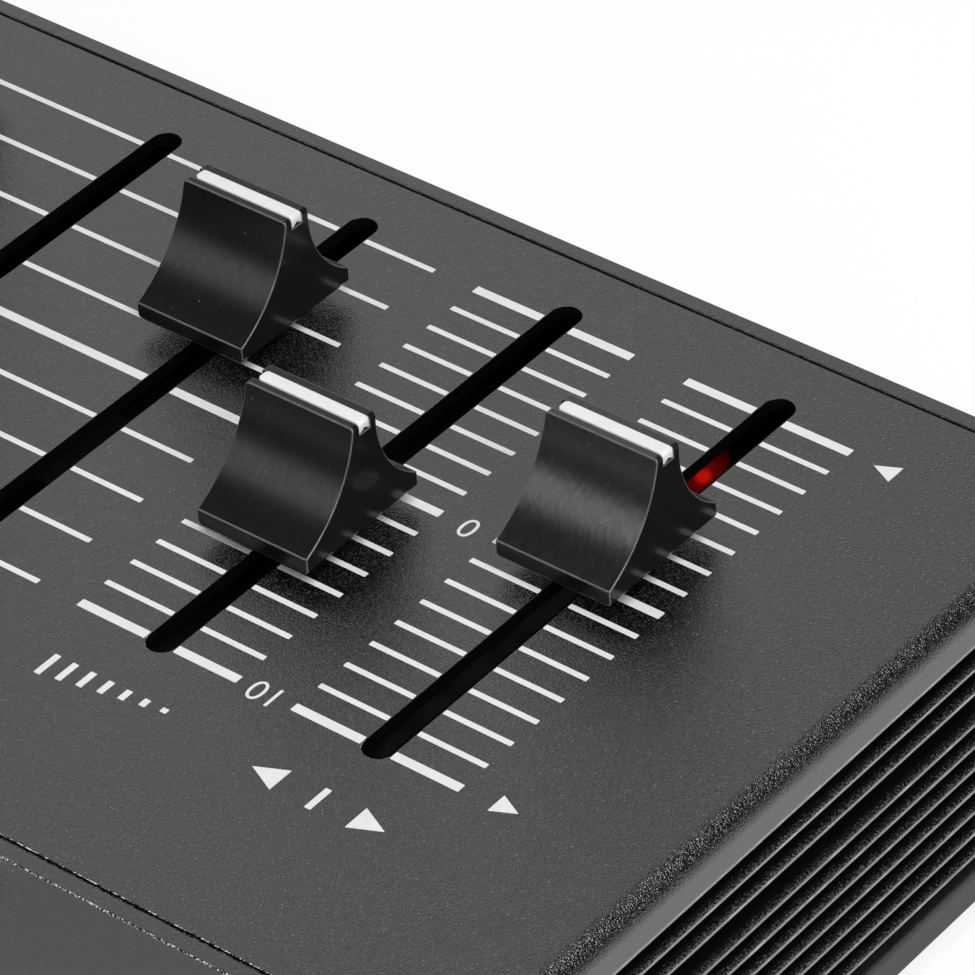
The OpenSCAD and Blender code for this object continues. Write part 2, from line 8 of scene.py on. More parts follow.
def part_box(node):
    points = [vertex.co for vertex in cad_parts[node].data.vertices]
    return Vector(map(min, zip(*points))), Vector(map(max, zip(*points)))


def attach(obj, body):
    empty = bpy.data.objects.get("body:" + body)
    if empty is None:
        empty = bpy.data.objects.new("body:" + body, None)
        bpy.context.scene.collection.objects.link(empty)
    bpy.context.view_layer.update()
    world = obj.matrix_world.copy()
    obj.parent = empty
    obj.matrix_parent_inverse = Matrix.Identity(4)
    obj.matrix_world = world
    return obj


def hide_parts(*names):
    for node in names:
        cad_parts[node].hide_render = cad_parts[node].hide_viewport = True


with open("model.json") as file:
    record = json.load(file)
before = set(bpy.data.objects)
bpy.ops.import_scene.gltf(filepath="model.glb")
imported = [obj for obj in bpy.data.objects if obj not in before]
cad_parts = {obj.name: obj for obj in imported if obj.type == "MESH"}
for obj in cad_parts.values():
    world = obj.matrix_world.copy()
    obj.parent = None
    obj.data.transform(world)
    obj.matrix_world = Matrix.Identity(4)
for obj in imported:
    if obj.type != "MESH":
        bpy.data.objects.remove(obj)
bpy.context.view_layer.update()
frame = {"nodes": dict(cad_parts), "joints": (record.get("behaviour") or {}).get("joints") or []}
nodes = frame["nodes"]
mm = 0.001
near = 0.01 * mm  # places closer than this count as the same
weld = 0.002 * mm  # corners closer than this are joined
print("frame loaded,", len(nodes), "nodes")


def middleOf(nodeName):
    low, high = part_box(nodeName)
    return (low + high) / 2


# places that the frame gives
jointRange = {joint["name"]: joint.get("range_m") for joint in frame["joints"]}
bandNames = sorted(name.removesuffix("_slide") for name in jointRange if name.startswith("band_"))
sliderNames = ["balance", "volume"] + bandNames
sliderX = {name: middleOf(name + "_knob").x for name in sliderNames}
lineY = {name: middleOf(name + "_line").y for name in sliderNames}
travel = jointRange["balance_slide"][1] - jointRange["balance_slide"][0]
scaleY = lineY["balance"] + sum(jointRange["balance_slide"]) / 2
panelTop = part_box("top_shell")[1].z
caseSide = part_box("top_shell")[1].x


# helpers for modelling

def clearSelection():
    if bpy.context.mode != "OBJECT":
        bpy.ops.object.mode_set(mode="OBJECT")
    bpy.ops.object.select_all(action="DESELECT")


def useOnly(piece):
    clearSelection()
    piece.select_set(True)
    bpy.context.view_layer.objects.active = piece


def openMesh(piece):
    useOnly(piece)
    bpy.ops.object.mode_set(mode="EDIT")
    bpy.ops.mesh.select_all(action="SELECT")


def closeMesh():
    bpy.ops.object.mode_set(mode="OBJECT")


# selects the edges whose two ends pass a test, in the piece that is open
def pickEdges(test):
    bpy.ops.mesh.select_all(action="DESELECT")
    bpy.ops.mesh.select_mode(type="EDGE")
    shape = bmesh.from_edit_mesh(bpy.context.edit_object.data)
    for edge in shape.edges:
        edge.select_set(test(edge.verts[0].co, edge.verts[1].co))
    bmesh.update_edit_mesh(bpy.context.edit_object.data)


# rounds the edges that are picked, by a width in millimetres
def bevelPicked(width, segments, edgeFinish=-1):
    bpy.ops.mesh.bevel(offset=width * mm, segments=segments, affect="EDGES", material=edgeFinish)


def applyModifier(piece, kind, **settings):
    useOnly(piece)
    modifier = piece.modifiers.new(kind.lower(), kind)
    for key, value in settings.items():
        setattr(modifier, key, value)
    bpy.ops.object.modifier_apply(modifier=modifier.name)


edgeRule = {"segments": 2, "sharp": 35, "smooth": 50, "weight": 50, "flat": 0.3}  # angles in degrees


# rounds the sharp edges, gives them a finish of their own if asked, and keeps flat faces flat
def roundEdges(piece, width, segments=edgeRule["segments"], angle=edgeRule["sharp"], edgeFinish=-1):
    applyModifier(piece, "BEVEL", width=width * mm, segments=segments, limit_method="ANGLE",
                  angle_limit=math.radians(angle), harden_normals=False, material=edgeFinish)
    useOnly(piece)
    bpy.ops.object.shade_smooth_by_angle(angle=math.radians(edgeRule["smooth"]))
    applyModifier(piece, "WEIGHTED_NORMAL", mode="FACE_AREA", weight=edgeRule["weight"], keep_sharp=True)


def setFinishes(piece, *finishes):
    piece.data.materials.clear()
    for finish in finishes:
        piece.data.materials.append(finish)


# copy of a CAD node with its triangles joined, ready for finer edges
def copyNode(nodeName, pieceName, *finishes):
    piece = bpy.data.objects.new(pieceName, nodes[nodeName].data.copy())
    bpy.context.scene.collection.objects.link(piece)
    setFinishes(piece, *finishes)
    openMesh(piece)
    bpy.ops.mesh.remove_doubles(threshold=weld)
    bpy.ops.mesh.dissolve_limited(angle_limit=math.radians(edgeRule["flat"]))
    closeMesh()
    return piece


# gives a CAD node that keeps its shape its material
def dressNode(nodeName, material):
    cadNode = nodes[nodeName]
    if not cadNode.material_slots:
        cadNode.data.materials.append(material)
    for place in cadNode.material_slots:
        place.material = material


def finishPiece(piece, body, slot, *stoodFor):
    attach(piece, body)
    if stoodFor:
        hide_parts(*stoodFor)


# helpers for materials

noiseSpan = (0.3, 0.7)  # most values of a noise lie between these


def addNode(tree, kind, inputs=None, **settings):
    made = tree.nodes.new(kind)
    for key, value in settings.items():
        setattr(made, key, value)
    for key, value in (inputs or {}).items():
        made.inputs[key].default_value = value
    return made


def addRamp(tree, stops):
    ramp = tree.nodes.new("ShaderNodeValToRGB")
    while len(ramp.color_ramp.elements) < len(stops):
        ramp.color_ramp.elements.new(0.5)
    for element, (place, shade) in zip(ramp.color_ramp.elements, stops):
        element.position = place
        element.color = (*shade, 1)
    return ramp


def grey(value):
    return (value, value, value)


def newMaterial(name):
    material = bpy.data.materials.new(name)
    material.use_nodes = True
    return material, material.node_tree, material.node_tree.nodes["Principled BSDF"]


# noise on Object coordinates, its grain size given in metres
def addNoise(tree, coords, grain, detail=2.0, stretch=None):
    noise = addNode(tree, "ShaderNodeTexNoise", {"Scale": 1 / grain, "Detail": detail})
    if stretch:
        mapping = addNode(tree, "ShaderNodeMapping", {"Scale": stretch})
        tree.links.new(coords.outputs["Object"], mapping.inputs["Vector"])
        tree.links.new(mapping.outputs["Vector"], noise.inputs["Vector"])
    else:
        tree.links.new(coords.outputs["Object"], noise.inputs["Vector"])
    return noise


# noise that is lowered at one |X| and raised at another; it paints the shade of the fin tops further in
def addFade(tree, coords, noise, fade):
    axes = addNode(tree, "ShaderNodeSeparateXYZ")
    away = addNode(tree, "ShaderNodeMath", operation="ABSOLUTE")
    lift = addNode(tree, "ShaderNodeMapRange", {"From Min": fade["from"], "From Max": fade["to"],
                                                "To Min": fade["lower"], "To Max": fade["higher"]})
    total = addNode(tree, "ShaderNodeMath", operation="ADD")
    tree.links.new(coords.outputs["Object"], axes.inputs["Vector"])
    tree.links.new(axes.outputs["X"], away.inputs[0])
    tree.links.new(away.outputs["Value"], lift.inputs["Value"])
    tree.links.new(lift.outputs["Result"], total.inputs[0])
    tree.links.new(noise.outputs["Fac"], total.inputs[1])
    return total.outputs["Value"]


# a shade with round specks of another shade in a share of the cells of a pattern
def addSpecks(tree, coords, shade, specks):
    cells = addNode(tree, "ShaderNodeTexVoronoi", {"Scale": 1 / specks["apart"]})
    speckSize = specks["radius"] / specks["apart"]
    dots = addNode(tree, "ShaderNodeMath", {1: speckSize}, operation="LESS_THAN")
    pick = addNode(tree, "ShaderNodeSeparateColor")
    few = addNode(tree, "ShaderNodeMath", {1: specks["share"]}, operation="LESS_THAN")
    both = addNode(tree, "ShaderNodeMath", operation="MULTIPLY")
    mix = addNode(tree, "ShaderNodeMix", data_type="RGBA")
    ground, speck, mixed = mix.inputs[6], mix.inputs[7], mix.outputs[2]  # the node's colour sockets
    speck.default_value = (*specks["shade"], 1)
    tree.links.new(coords.outputs["Object"], cells.inputs["Vector"])
    tree.links.new(cells.outputs["Distance"], dots.inputs[0])
    tree.links.new(cells.outputs["Color"], pick.inputs["Color"])
    tree.links.new(pick.outputs["Red"], few.inputs[0])
    tree.links.new(dots.outputs["Value"], both.inputs[0])
    tree.links.new(few.outputs["Value"], both.inputs[1])
    tree.links.new(both.outputs["Value"], mix.inputs[0])
    tree.links.new(shade, ground)
    return mixed


# a surface with slow shade changes and a fine grain, and with a fade or specks if asked; sizes in metres
def makeFinish(name, shades, rough, grain, bump, slow=0.02, stops=noiseSpan, detail=2.0, stretch=None,
               metallic=0.0, ior=1.5, specular=0.5, specks=None, fade=None):
    material, tree, shader = newMaterial(name)
    coords = addNode(tree, "ShaderNodeTexCoord")
    shader.inputs["Metallic"].default_value = metallic
    shader.inputs["IOR"].default_value = ior
    shader.inputs["Specular IOR Level"].default_value = specular
    slowNoise = addNoise(tree, coords, slow)
    fineNoise = addNoise(tree, coords, grain, detail, stretch)
    ramp = addRamp(tree, list(zip(stops, shades)))
    level = addFade(tree, coords, slowNoise, fade) if fade else slowNoise.outputs["Fac"]
    tree.links.new(level, ramp.inputs["Fac"])
    shade = addSpecks(tree, coords, ramp.outputs["Color"], specks) if specks else ramp.outputs["Color"]
    tree.links.new(shade, shader.inputs["Base Color"])
    roughness = addNode(tree, "ShaderNodeMapRange", {"From Min": noiseSpan[0], "From Max": noiseSpan[1],
                                                     "To Min": rough[0], "To Max": rough[1]})
    tree.links.new(fineNoise.outputs["Fac"], roughness.inputs["Value"])
    tree.links.new(roughness.outputs["Result"], shader.inputs["Roughness"])
    relief = addNode(tree, "ShaderNodeBump", {"Strength": bump[0], "Distance": bump[1]})
    tree.links.new(fineNoise.outputs["Fac"], relief.inputs["Height"])
    tree.links.new(relief.outputs["Normal"], shader.inputs["Normal"])
    return material


# fine edges of the case, and the places where its finishes change
caseEdges = {  # millimetres, apart from the segments
    "shell": 0.1, "plate": 0.3, "seam": 0.08, "seamReach": 1.0, "rim": 0.12, "segments": 3,
    "slotHalf": 1.5, "slotDeep": 2.5, "cornerHigh": 1.9, "lastFin": 23.8,
    "finDeep": 2.2, "grooveDeep": 1.2, "tipDeep": 0.7,
    "bandHigh": 3.85, "brightHigh": 0.3, "brightUnder": 0.02,
}
sideX = caseSide - caseEdges["finDeep"] * mm
grooveX = caseSide - caseEdges["grooveDeep"] * mm
tipX = caseSide - caseEdges["tipDeep"] * mm
# top of the strip along the band's lower edge that gets the painted highlight
brightTop = panelTop - (caseEdges["bandHigh"] - caseEdges["brightHigh"] + caseEdges["brightUnder"]) * mm

# grained coat of the case, with a fine light speckle painted in for the glints of its grain, and what departs
# from it:
# edges worn and with painted highlights, painted shade in slots and grooves, painted highlights on the fin
# edges, fin tops with painted light at the tips and painted shade further in, rougher round corners with a
# dimmer painted speckle, plain sides and the plain band under the fins
coatLook = {
    # the fine light speckle of these shades is painted in for the glints of the grain
    "shades": (grey(0.0015), grey(0.065)), "slow": 0.00013, "stops": (0.53, 0.70),
    "rough": (0.20, 0.27), "grain": 0.00013, "bump": (1.0, 0.00005), "ior": 2.2, "detail": 1.0,
    "specks": {"apart": 0.0008, "radius": 0.00007, "share": 0.8, "shade": grey(0.1)},
}
cleanLook = dict(coatLook, specks=None)
sideLook = dict(cleanLook, shades=(grey(0.006), grey(0.009)), slow=0.004, bump=(1.0, 0.00002))
caseLooks = {
    "case_coat": coatLook,
    # rounded edges: a speckled light tone, partly wear and partly painted highlights
    "case_edge": dict(cleanLook, shades=(grey(0.001), grey(0.85)), slow=0.00017, stops=(0.50, 0.62), ior=1.4),
    # painted shade: near black for the walls of slots, the walls and roofs of grooves, the inner fin tops and
    # the lower fin edges
    "painted_shade_in_recesses": {"shades": (grey(0.0015), grey(0.0025)), "rough": (0.6, 0.7), "grain": 0.00024,
                   "bump": (0.5, 0.00003), "specular": 0.1},
    # painted highlight: a light tone on the fin edges and the band's lower edge, where light lines are seen
    "fin_edge": dict(cleanLook, shades=(grey(0.20), grey(0.37)), slow=0.002),
    # fin tops: a grain of painted light near the tips, fading into painted shade further in
    "fin_top": dict(cleanLook, shades=(grey(0.002), grey(0.14)), slow=0.00016, stops=(0.40, 0.66),
                    fade={"from": tipX, "to": caseSide, "lower": -0.25, "higher": 0.05}),
    "case_corner": dict(cleanLook, shades=(grey(0.0015), grey(0.045)), rough=(0.13, 0.18),
                        bump=(1.0, 0.00008)),
    "case_side": sideLook,
    "case_foot": dict(sideLook, ior=1.6),
}
caseOrder = list(caseLooks)
caseFinishes = [makeFinish(name, **look) for name, look in caseLooks.items()]

# moulded knobs: fine draw marks down the faces, edges lightened partly by wear and partly by painted
# highlights, flat ends painted a little lighter to lift their shade, dull skirts, one knob rubbed shiny
mouldLook = {
    "shades": (grey(0.006), grey(0.008)), "slow": 0.004, "rough": (0.25, 0.31), "grain": 0.00035,
    "bump": (1.0, 0.000009), "stretch": (1, 0.25, 0.25),
    "specks": {"apart": 0.0009, "radius": 0.00006, "share": 0.2, "shade": grey(0.15)},
}
knobLooks = {
    "knob_plastic": mouldLook,
    # edges: a lighter tone, partly wear, partly painted highlight
    "knob_edge": dict(mouldLook, shades=(grey(0.09), grey(0.13)), rough=(0.16, 0.2), slow=0.001, specks=None,
                      ior=1.7),
    # flat ends: a tone a little lighter than the rest of the plastic, painted on to lift their shade
    "knob_end": dict(mouldLook, shades=(grey(0.0095), grey(0.0115)), rough=(0.14, 0.18), bump=(0.2, 0.00001),
                     ior=1.36),
    "knob_skirt": dict(mouldLook, specks=None, ior=1.36),
}
knobOrder = list(knobLooks)
knobFinishes = [makeFinish(name, **look) for name, look in knobLooks.items()]
knobRubbed = makeFinish("knob_rubbed", **dict(mouldLook, ior=1.85, bump=(1.0, 0.00003)))

# finishes of the other parts
partLooks = {
    "line_plastic": {"shades": ((0.90, 0.92, 0.93), (0.94, 0.95, 0.96)), "slow": 0.002, "rough": (0.35, 0.45),
                     "grain": 0.0003, "bump": (0.1, 0.00001)},
    "print_ink": {"shades": (grey(0.88), grey(0.93)), "slow": 0.0015, "rough": (0.5, 0.6), "grain": 0.00015,
                  "bump": (0.2, 0.00001)},
    "screw_black": {"shades": (grey(0.02), grey(0.03)), "rough": (0.3, 0.42), "grain": 0.0003,
                    "bump": (0.2, 0.00001), "metallic": 0.6},
    "foot_rubber": {"shades": (grey(0.018), grey(0.026)), "rough": (0.7, 0.85), "grain": 0.0004,
                    "bump": (0.5, 0.00004)},
    # board: near-black green, painted shade so it looks black through the slots
    "board_green": {"shades": ((0.003, 0.016, 0.009), (0.004, 0.022, 0.012)), "rough": (0.3, 0.45),
                    "grain": 0.002, "bump": (0.2, 0.00002)},
    "cap_sleeve": {"shades": ((0.012, 0.015, 0.04), (0.02, 0.024, 0.06)), "rough": (0.25, 0.35),
                   "grain": 0.001, "bump": (0.2, 0.00002)},
    "chip_black": {"shades": (grey(0.02), grey(0.028)), "rough": (0.5, 0.65), "grain": 0.0002,
                   "bump": (0.4, 0.00002)},
    "socket_black": {"shades": (grey(0.018), grey(0.024)), "rough": (0.38, 0.5), "grain": 0.0003,
                     "bump": (0.3, 0.00002)},
    "barrel_metal": {"shades": ((0.66, 0.65, 0.62), (0.72, 0.71, 0.68)), "rough": (0.16, 0.26),
                     "grain": 0.0005, "bump": (0.1, 0.00001), "metallic": 1.0, "stretch": (6, 1, 6)},
    "insulator_white": {"shades": ((0.72, 0.71, 0.68), (0.78, 0.77, 0.74)), "rough": (0.3, 0.4),
                        "grain": 0.0005, "bump": (0.15, 0.00001)},
    "insulator_red": {"shades": ((0.42, 0.015, 0.012), (0.5, 0.02, 0.016)), "rough": (0.3, 0.4),
                      "grain": 0.0005, "bump": (0.15, 0.00001)},
    "lever_steel": {"shades": (grey(0.30), grey(0.36)), "rough": (0.35, 0.5), "grain": 0.0003,
                    "bump": (0.2, 0.00001), "metallic": 1.0, "stretch": (1, 1, 6)},
    # tracks: near-black steel, painted shade so they look black through the slots
    "track_steel": {"shades": (grey(0.012), grey(0.018)), "rough": (0.4, 0.55), "grain": 0.0004,
                    "bump": (0.2, 0.00001), "metallic": 1.0, "stretch": (1, 6, 1)},
}
partFinish = {name: makeFinish(name, **look) for name, look in partLooks.items()}

# lit red lamp: a tinted body that glows most around one spot of its dome and fades away from it
lampLook = {
    "shade": (0.12, 0.004, 0.002), "glow": (1.0, 0.012, 0.004), "rough": 0.25,
    "dome": 2.5, "reach": 2.6, "spotSide": (-0.726, 0.671, 0.157),  # millimetres, and a direction
    "fade": ((0.15, 0.42), (0.30, 0.085), (0.55, 0.05), (1.0, 0.002)),  # share of the reach, level
}
domeMiddle = middleOf("indicator_lamp")
domeMiddle.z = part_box("indicator_lamp")[1].z - lampLook["dome"] * mm
lampSpot = domeMiddle + Vector(lampLook["spotSide"]) * lampLook["dome"] * mm
lampRed, lampTree, lampShader = newMaterial("lamp_red")
lampCoords = addNode(lampTree, "ShaderNodeTexCoord")
lampAway = addNode(lampTree, "ShaderNodeVectorMath", {1: lampSpot}, operation="DISTANCE")
lampShare = addNode(lampTree, "ShaderNodeMath", {1: lampLook["reach"] * mm}, operation="DIVIDE")
lampLevel = addRamp(lampTree, [(place, grey(level)) for place, level in lampLook["fade"]])
lampShader.inputs["Base Color"].default_value = (*lampLook["shade"], 1)
lampShader.inputs["Emission Color"].default_value = (*lampLook["glow"], 1)
lampShader.inputs["Roughness"].default_value = lampLook["rough"]
lampTree.links.new(lampCoords.outputs["Object"], lampAway.inputs[0])
lampTree.links.new(lampAway.outputs["Value"], lampShare.inputs[0])
lampTree.links.new(lampShare.outputs["Value"], lampLevel.inputs["Fac"])
lampTree.links.new(lampLevel.outputs["Color"], lampShader.inputs["Emission Strength"])
print("materials made,", len(bpy.data.materials))

# case: the four metal pieces get fine rounded edges
casePieces = (
    ("top_shell", "case_top", "shell"),
    ("bottom_shell", "case_base", "shell"),
    ("front_plate", "case_front", "plate"),
    ("rear_plate", "case_rear", "plate"),
)
# finish of rounded edges: wear together with painted highlights
edgeWearAndHighlight = caseOrder.index("case_edge")

# limits for the parts of a face's normal that tell how the face is turned
turned = {
    "alongCase": 0.3, "straightAlong": 0.1, "sideways": 0.9, "level": 0.5, "under": -0.25, "upright": 0.2,
    "leastRound": 0.03, "mostRound": 0.998,
}


# name of the finish of a case face
def caseFinish(face, height):
    away, z, normal = abs(face.center.x), face.center.z, face.normal
    alongCase = abs(normal.y) < turned["alongCase"]
    sideways = abs(normal.x) > turned["sideways"]
    onSide = away > sideX and alongCase and z < brightTop
    if alongCase and away > grooveX and z < panelTop - caseEdges["lastFin"] * mm:
        return "case_foot"
    # rounded edges: wear and painted highlights on the rear half, plain coat in front; on the fins a painted
    # highlight above and painted shade below
    if face.material_index == edgeWearAndHighlight:
        if not onSide:
            return "case_edge" if face.center.y > 0 else "case_coat"
        if away < grooveX:
            return "case_coat"
        return "fin_edge" if normal.z > turned["under"] else "painted_shade_in_recesses"
    # painted highlight on the fin tips and the band's lower edge
    if onSide and sideways and away > grooveX and height < caseEdges["brightHigh"] * mm:
        return "fin_edge"
    # painted shade in the grooves
    if onSide and (normal.z < -turned["level"] or sideways and away < grooveX):
        return "painted_shade_in_recesses"
    # fin tops: painted light near the tips, painted shade further in
    if onSide and normal.z > turned["level"]:
        return "fin_top" if away > tipX else "painted_shade_in_recesses"
    isRound = turned["leastRound"] < abs(normal.x) < turned["mostRound"] and normal.z > turned["leastRound"]
    if isRound and abs(normal.y) < turned["straightAlong"]:
        return "case_corner" if z > panelTop - caseEdges["cornerHigh"] * mm else "case_coat"
    if sideways and away > grooveX:
        return "case_side"
    # walls of the slots get the painted shade
    upright = abs(normal.z) < turned["upright"] and z > panelTop - caseEdges["slotDeep"] * mm
    slotAway = min(abs(face.center.x - x) for x in sliderX.values())
    return "painted_shade_in_recesses" if upright and slotAway < caseEdges["slotHalf"] * mm else "case_coat"


# cuts a shell's faces where the finishes change, and rounds its top edges along the plates, worn and with
# painted highlights
def cutShellAndRoundSeams():
    cuts = (((0, 0, brightTop), (0, 0, 1)), ((tipX, 0, 0), (1, 0, 0)), ((-tipX, 0, 0), (1, 0, 0)))
    for place, way in cuts:
        bpy.ops.mesh.select_all(action="SELECT")
        bpy.ops.mesh.bisect(plane_co=place, plane_no=way)
    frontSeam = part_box("front_plate")[1].y + caseEdges["seamReach"] * mm
    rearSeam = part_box("rear_plate")[0].y - caseEdges["seamReach"] * mm
    pickEdges(lambda a, b: min(a.z, b.z) > panelTop - near and abs(a.y - b.y) < near
              and not frontSeam < a.y < rearSeam)
    bevelPicked(caseEdges["seam"], caseEdges["segments"], edgeWearAndHighlight)


# rounds the top edge of the rear plate's back, worn and with painted highlights
def roundRearPlateRim():
    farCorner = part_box("rear_plate")[1]
    pickEdges(lambda a, b: min(a.z, b.z) > farCorner.z - near and min(a.y, b.y) > farCorner.y - near)
    bevelPicked(caseEdges["rim"], caseEdges["segments"], edgeWearAndHighlight)


for nodeName, pieceName, edgeName in casePieces:
    piece = copyNode(nodeName, pieceName, *caseFinishes)
    if edgeName == "shell":
        openMesh(piece)
        cutShellAndRoundSeams()
        closeMesh()
    if nodeName == "rear_plate":
        openMesh(piece)
        roundRearPlateRim()
        closeMesh()
    roundEdges(piece, caseEdges[edgeName], caseEdges["segments"], edgeFinish=edgeWearAndHighlight)
    for face in piece.data.polygons:
        heights = [piece.data.vertices[corner].co.z for corner in face.vertices]
        face.material_index = caseOrder.index(caseFinish(face, max(heights) - min(heights)))
    finishPiece(piece, "case", "case_black", nodeName)
print("case finished")

# small fittings, copied with rounded edges
fittings = (  # node, piece, body, slot, edge in millimetres
    ("front_screws", "screws_front", "case", "screw_black", 0.15),
    ("rear_screws", "screws_rear", "case", "screw_black", 0.15),
    ("rubber_feet", "feet", "case", "foot_rubber", 0.3),
    ("input_barrels", "barrels_input", "case", "barrel_metal", 0.15),
    ("output_barrels", "barrels_output", "case", "barrel_metal", 0.15),
    ("left_insulators", "insulators_left", "case", "insulator_white", 0.15),
    ("right_insulators", "insulators_right", "case", "insulator_red", 0.15),
    ("power_inlet", "inlet_body", "case", "socket_black", 0.15),
    ("switch_housing", "switch_bezel", "case", "socket_black", 0.15),
    ("power_rocker", "rocker_cap", "rocker", "socket_black", 0.2),
)
for nodeName, pieceName, body, slot, edge in fittings:
    piece = copyNode(nodeName, pieceName, partFinish[slot])
    roundEdges(piece, edge)
    finishPiece(piece, body, slot, nodeName)
print("fittings finished")

# inner pieces keep their CAD shape
innerFinish = {
    "main_board": "board_green", "capacitors": "cap_sleeve", "amplifier_chips": "chip_black",
    "input_housing": "socket_black", "output_housing": "socket_black",
    "jack_contacts": "barrel_metal", "inlet_pin": "barrel_metal",
}
for name in sliderNames:
    innerFinish[name + "_lever"] = "lever_steel"
    innerFinish[name + "_track"] = "track_steel"
for nodeName, finishName in innerFinish.items():
    dressNode(nodeName, partFinish[finishName])
dressNode("indicator_lamp", lampRed)
print("inner pieces dressed")

# slider knob, modelled once with the middle of the CAD line at the origin and the panel at zero height
knob = {  # millimetres, the lean and the sharp edges' angle in degrees
    "width": 10.1, "top": 10.74, "gap": 1.43, "skirtTop": 2.83, "rear": 7.25, "front": 5.15,
    "ridge": 1.15, "ridgeFront": 1.4, "rearSweep": 11.0, "frontSweep": 8.0, "sweepSteps": 20,
    "ridgeEnd": 0.35, "footCorner": 0.4, "roundSteps": 4, "farLean": 2.0,
    "edge": 0.1, "edgeSteps": 3, "sharp": 30,
    "square": 0.97,  # part of a normal along one axis, for faces that look straight that way
}
line = {  # millimetres, the sharp edges' angle in degrees
    "width": 1.1, "middle": -0.06, "low": 9.85, "proud": 0.1, "wall": 0.55, "corner": 0.35, "notch": 0.3,
    "edge": 0.08, "sharp": 50,
    "grooveOver": 1.0, "grooveLonger": 1.5,  # height of the groove's cutter over the knob, and its stretch
}


# points of a hollow arc from one end to the other, in millimetres
def hollowArc(start, end, radius, steps):
    a, b = Vector(start), Vector(end)
    chord = b - a
    out = Vector((-chord.y, chord.x)).normalized()
    centre = (a + b) / 2 + out * math.sqrt(radius ** 2 - chord.length_squared / 4)
    first = math.atan2(a.y - centre.y, a.x - centre.x)
    last = math.atan2(b.y - centre.y, b.x - centre.x)
    turn = (last - first + math.pi) % (2 * math.pi) - math.pi
    angles = [first + turn * step / steps for step in range(steps + 1)]
    return [(centre.x + radius * math.cos(angle), centre.y + radius * math.sin(angle)) for angle in angles]


def makeKnob():
    rearFace = hollowArc((knob["ridge"], knob["top"]), (knob["rear"], knob["skirtTop"]),
                         knob["rearSweep"], knob["sweepSteps"])
    frontFace = hollowArc((-knob["front"], knob["skirtTop"]), (-knob["ridgeFront"], knob["top"]),
                          knob["frontSweep"], knob["sweepSteps"])
    profile = rearFace + [(knob["rear"], knob["gap"]), (-knob["front"], knob["gap"])] + frontFace
    clearSelection()
    bpy.ops.mesh.primitive_plane_add(size=knob["width"] * mm)
    piece = bpy.context.active_object
    openMesh(piece)
    bpy.ops.transform.resize(value=(1, 0, 1))  # flattened to one edge across the knob
    bpy.ops.mesh.remove_doubles(threshold=weld)
    bpy.ops.mesh.select_all(action="SELECT")
    bpy.ops.transform.translate(value=(0, profile[0][0] * mm, profile[0][1] * mm))
    for here, there in zip(profile, profile[1:] + profile[:1]):
        step = (0, (there[0] - here[0]) * mm, (there[1] - here[1]) * mm)
        bpy.ops.mesh.extrude_region_move(TRANSFORM_OT_translate={"value": step})
    bpy.ops.mesh.select_all(action="SELECT")
    bpy.ops.mesh.remove_doubles(threshold=weld)
    bpy.ops.mesh.fill_holes(sides=0)
    bpy.ops.mesh.select_all(action="SELECT")
    bpy.ops.mesh.normals_make_consistent(inside=False)
    endX, topZ, lowZ = knob["width"] / 2 * mm, knob["top"] * mm, knob["gap"] * mm

    def onEnd(a, b):
        return abs(a.x - b.x) < near and min(abs(a.x), abs(b.x)) > endX - near

    pickEdges(lambda a, b: onEnd(a, b) and min(a.z, b.z) > topZ - near)
    bevelPicked(knob["ridgeEnd"], knob["roundSteps"])
    pickEdges(lambda a, b: onEnd(a, b) and max(a.z, b.z) < lowZ + near)
    bevelPicked(knob["footCorner"], knob["roundSteps"])
    pickEdges(lambda a, b: min(a.x, b.x) > 0)
    bpy.ops.transform.rotate(value=math.radians(knob["farLean"]), orient_axis="Y",
                             center_override=(endX, 0, topZ))
    closeMesh()
    return piece


# bar that the white line fills, from the open -X end to an end with round corners
def makeLineBar(top):
    length, low = knob["width"] - line["wall"], line["low"]
    clearSelection()
    bpy.ops.mesh.primitive_cube_add(size=1)
    piece = bpy.context.active_object
    openMesh(piece)
    bpy.ops.transform.resize(value=(length * mm, line["width"] * mm, (top - low) * mm))
    bpy.ops.transform.translate(value=(-line["wall"] / 2 * mm, line["middle"] * mm, (top + low) / 2 * mm))
    farEnd = (knob["width"] / 2 - line["wall"]) * mm
    pickEdges(lambda a, b: min(a.x, b.x) > farEnd - near and abs(a.z - b.z) > near)
    bevelPicked(line["corner"], knob["roundSteps"])
    closeMesh()
    return piece


knobModel = makeKnob()
setFinishes(knobModel, *knobFinishes)
groove = makeLineBar(knob["top"] + line["grooveOver"])
openMesh(groove)
bpy.ops.transform.resize(value=(line["grooveLonger"], 1, 1))  # the groove is open at both ends
closeMesh()
applyModifier(knobModel, "BOOLEAN", operation="DIFFERENCE", solver="EXACT", object=groove)
bpy.data.objects.remove(groove)
roundEdges(knobModel, knob["edge"], knob["edgeSteps"], knob["sharp"], knobOrder.index("knob_edge"))
for face in knobModel.data.polygons:
    if face.material_index == knobOrder.index("knob_plastic"):
        if abs(face.normal.x) > knob["square"]:
            face.material_index = knobOrder.index("knob_end")
        elif abs(face.normal.y) > knob["square"] and face.center.z < knob["skirtTop"] * mm:
            face.material_index = knobOrder.index("knob_skirt")

